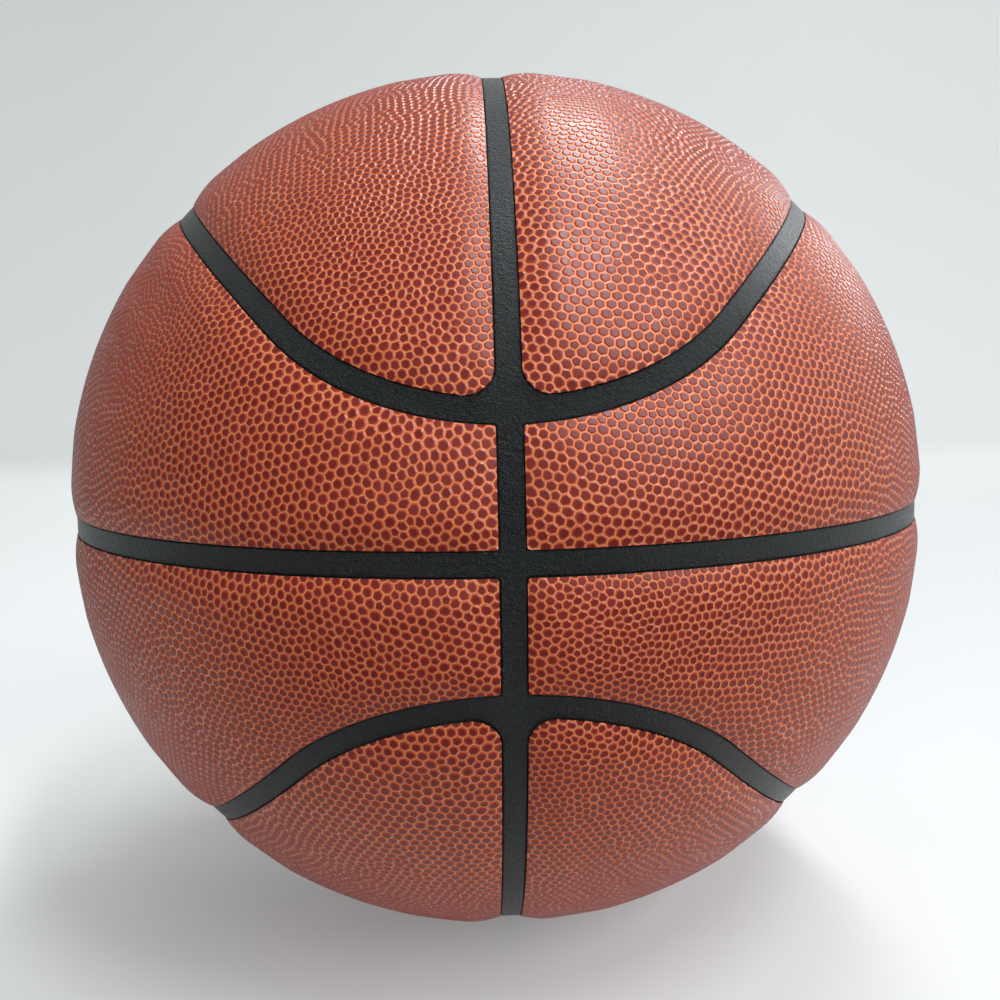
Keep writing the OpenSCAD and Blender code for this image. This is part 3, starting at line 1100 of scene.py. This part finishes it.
class BALL_OT_valve(bpy.types.Operator):
    """Build the valve plug with its needle channel and bulb, and finish the housing around it"""
    bl_idname = "basketball.valve"
    bl_label = "Valve"

    def execute(self, context):
        sizes, _, valve, colours = scene_settings()
        face = sizes.rib_radius - valve.plug_sink
        outer = valve.plug_diameter / 2
        inner = valve.needle_diameter / 2
        rounding = 0.35 * MM
        lead_in = 0.45 * MM
        bulb = valve.bulb_diameter / 2
        neck = face - valve.plug_length - sizes.glue_film
        end = neck - valve.bulb_length
        bulb_rounding = 1.1 * MM
        quarter_turn = math.pi / 2
        points = [
            (0, face - valve.needle_depth),
            (inner, face - valve.needle_depth),
            (inner, face - 2 * lead_in),
            *quarter_round((inner + lead_in, face - lead_in), lead_in, -quarter_turn),
            *quarter_round((outer - rounding, face - rounding), rounding, 0),
            (outer, neck),
            *quarter_round((bulb - bulb_rounding, neck - bulb_rounding), bulb_rounding, 0),
            *quarter_round((bulb - bulb_rounding, end + bulb_rounding), bulb_rounding, quarter_turn),
            (0, end),
        ]
        bm = spin_outline(points, steps=48)
        sharp_angle = math.radians(40)
        for edge in bm.edges:
            if len(edge.link_faces) == 2 and edge.calc_face_angle() > sharp_angle:
                edge.smooth = False
        rubber = rubber_material("plug_rubber", colours.rubber, 0.4, 3000.0, 0.3)
        piece = add_piece(bm, "plug", [rubber])
        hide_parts("valve_plug")
        dress_node("valve_housing", rubber_material("housing_rubber", (0.03, 0.03, 0.034), 0.5, 1500.0, 0.3))
        return {"FINISHED"}


class BALL_OT_inner_layers(bpy.types.Operator):
    """Finish the bladder, the winding and the carcass under the pads"""
    bl_idname = "basketball.inner_layers"
    bl_label = "Inner Layers"

    def execute(self, context):
        *_, colours = scene_settings()
        dress_node("carcass", rubber_material("carcass_rubber", (0.022, 0.022, 0.024), 0.6, 900.0, 0.4))
        dress_node("bladder", rubber_material("bladder_butyl", (0.012, 0.012, 0.013), 0.38, 500.0, 0.15))
        dress_node("winding", thread_material(colours))
        return {"FINISHED"}


class BALL_OT_stage(bpy.types.Operator):
    """Set up the floor, the backdrop, the lamps and the camera"""
    bl_idname = "basketball.stage"
    bl_label = "Stage"

    def execute(self, context):
        scene = context.scene
        self.add_backdrop()
        self.add_lamps(scene)
        self.add_world(scene)
        self.add_camera(scene)
        scene.view_settings.view_transform = "Standard"
        return {"FINISHED"}

    def add_backdrop(self):
        """A floor that bends up into a wall behind the ball."""
        *_, colours = scene_settings()
        half_width, front, back, bend, top = 6.0, -4.0, 2.2, 1.2, 5.0
        turns = 16
        bm = bmesh.new()
        start = [bm.verts.new((side * half_width, front, CAD_LOW.z)) for side in (-1, 1)]
        rim = [bm.edges.new(start)]
        moves = [(0, back - front, 0)]
        for step in range(turns):
            low, high = (math.pi / 2 * share / turns for share in (step, step + 1))
            moves.append((
                0, bend * (math.sin(high) - math.sin(low)), bend * (math.cos(low) - math.cos(high))))
        moves.append((0, 0, top))
        for move in moves:
            made = bmesh.ops.extrude_edge_only(bm, edges=rim)["geom"]
            rim = [item for item in made if isinstance(item, bmesh.types.BMEdge)]
            bmesh.ops.translate(bm, verts=new_vertices(made), vec=move)
        bmesh.ops.recalc_face_normals(bm, faces=bm.faces)
        backdrop = add_object(bm, "backdrop", [backdrop_material(colours)])

    def add_lamps(self, scene):
        """Flat lamps, each from one end of its middle line to the other, facing the ball. A plain one
        isn't mirrored in the ball, and a mirrored one is seen only there."""
        for name, start, end, width, power, kind in (
                ("ceiling_lamp_front", (0.48, -0.96, 1.20), (0.32, -0.36, 1.20), 0.14, 9.0, "both"),
                ("ceiling_lamp_back", (0.40, -0.08, 1.20), (0.22, 0.66, 1.20), 0.16, 7.0, "both"),
                ("right_front_panel", (1.1, -2.2, 1.2), (2.2, -1.1, 1.5), 1.4, 41.0, "both"),
                ("right_back_panel", (2.2, 1.3, 1.1), (1.5, 2.0, 1.3), 1.1, 15.0, "mirrored"),
                ("front_fill", (-1.3, -2.6, 0.6), (0.3, -2.6, 0.6), 1.2, 36.0, "plain")):
            start, end = Vector(start), Vector(end)
            middle = (start + end) / 2
            along = (end - start).normalized()
            facing = (middle - middle.dot(along) * along).normalized()
            lamp = bpy.data.lights.new(name, "AREA")
            lamp.shape = "RECTANGLE"
            lamp.size = width
            lamp.size_y = (end - start).length
            lamp.energy = power
            lamp.color = (0.95, 0.98, 1.0)
            holder = bpy.data.objects.new(name, lamp)
            turn = Matrix((along.cross(facing), along, facing)).transposed().to_4x4()
            holder.matrix_world = Matrix.Translation(middle) @ turn
            holder.visible_glossy = kind != "plain"
            holder.visible_diffuse = kind != "mirrored"
            scene.collection.objects.link(holder)

    def add_world(self, scene):
        """White walls behind and beside the ball, and a room behind the camera that sheds little light
        but looks pale."""
        world = bpy.data.worlds.new("studio")
        world.use_nodes = True
        tree = world.node_tree
        direction = tree.nodes.new("ShaderNodeTexCoord").outputs["Generated"]
        x, y, _ = add_node(tree, "ShaderNodeSeparateXYZ", {"Vector": direction}).outputs
        backward = calculate(tree, "ADD", y, calculate(tree, "MULTIPLY", x, 0.3))
        walls = remap(tree, backward, -0.35, 0.45, DARK_ROOM, WHITE_WALLS, smooth=True)
        camera_ray = tree.nodes.new("ShaderNodeLightPath").outputs["Is Camera Ray"]
        looks = calculate(tree, "MULTIPLY", camera_ray, PALE)
        set_inputs(tree, tree.nodes["Background"], {
            "Strength": calculate(tree, "MAXIMUM", walls, looks), "Color": (0.91, 0.98, 1.0, 1)})
        scene.world = world

    def add_camera(self, scene):
        """The camera, fitted to the photo: its distance and focal length, where the ball's middle is
        in the picture, and how the ball is turned, as an axis whose length is the angle in degrees."""
        pixels_across = 1000
        focal_pixels = 1020.6
        sensor = 36
        distance = 313.9 * MM
        middle_at = (496.3, 497.2)
        ball_turn = Vector((-6.39, 1.21, -1.70))
        turn = Matrix.Rotation(math.radians(ball_turn.length), 3, ball_turn.normalized())
        aim = Vector((
            (middle_at[0] - pixels_across / 2) / focal_pixels, 1,
            (pixels_across / 2 - middle_at[1]) / focal_pixels)).normalized()
        data = bpy.data.cameras.new("camera")
        data.sensor_width = sensor
        data.lens = focal_pixels * sensor / pixels_across
        data.clip_start = 0.01
        camera = bpy.data.objects.new("camera", data)
        facing = turn @ Matrix.Rotation(math.pi / 2, 3, "X")
        camera.matrix_world = Matrix.Translation(turn @ (aim * -distance)) @ facing.to_4x4()
        scene.collection.objects.link(camera)
        scene.camera = camera


class BALL_PT_panel(bpy.types.Panel):
    """Lists the pieces of the basketball and their settings"""
    bl_label = "Basketball"
    bl_space_type = "VIEW_3D"
    bl_region_type = "UI"
    bl_category = "Basketball"

    def draw(self, context):
        for operator in OPERATORS:
            self.layout.operator(operator.bl_idname)
        for group in scene_settings():
            box = self.layout.box()
            for name in group.bl_rna.properties.keys():
                if name not in ("rna_type", "name"):
                    box.prop(group, name)


GROUPS = {
    "ball_sizes": BallSizes,
    "pebble_sizes": PebbleSizes,
    "valve_sizes": ValveSizes,
    "ball_colours": Colours,
}
OPERATORS = (
    BALL_OT_cover_panels, BALL_OT_foam_pads, BALL_OT_rib_net, BALL_OT_valve,
    BALL_OT_inner_layers, BALL_OT_stage)


def register():
    for cls in (*GROUPS.values(), *OPERATORS, BALL_PT_panel):
        bpy.utils.register_class(cls)
    for name, group in GROUPS.items():
        setattr(bpy.types.Scene, name, bpy.props.PointerProperty(type=group))


def unregister():
    for name in GROUPS:
        delattr(bpy.types.Scene, name)
    for cls in reversed((*GROUPS.values(), *OPERATORS, BALL_PT_panel)):
        bpy.utils.unregister_class(cls)


def main():
    register()
    for operator in OPERATORS:
        call = operator.bl_idname.split(".")[1]
        getattr(bpy.ops.basketball, call)()


if __name__ == "__main__":
    main()
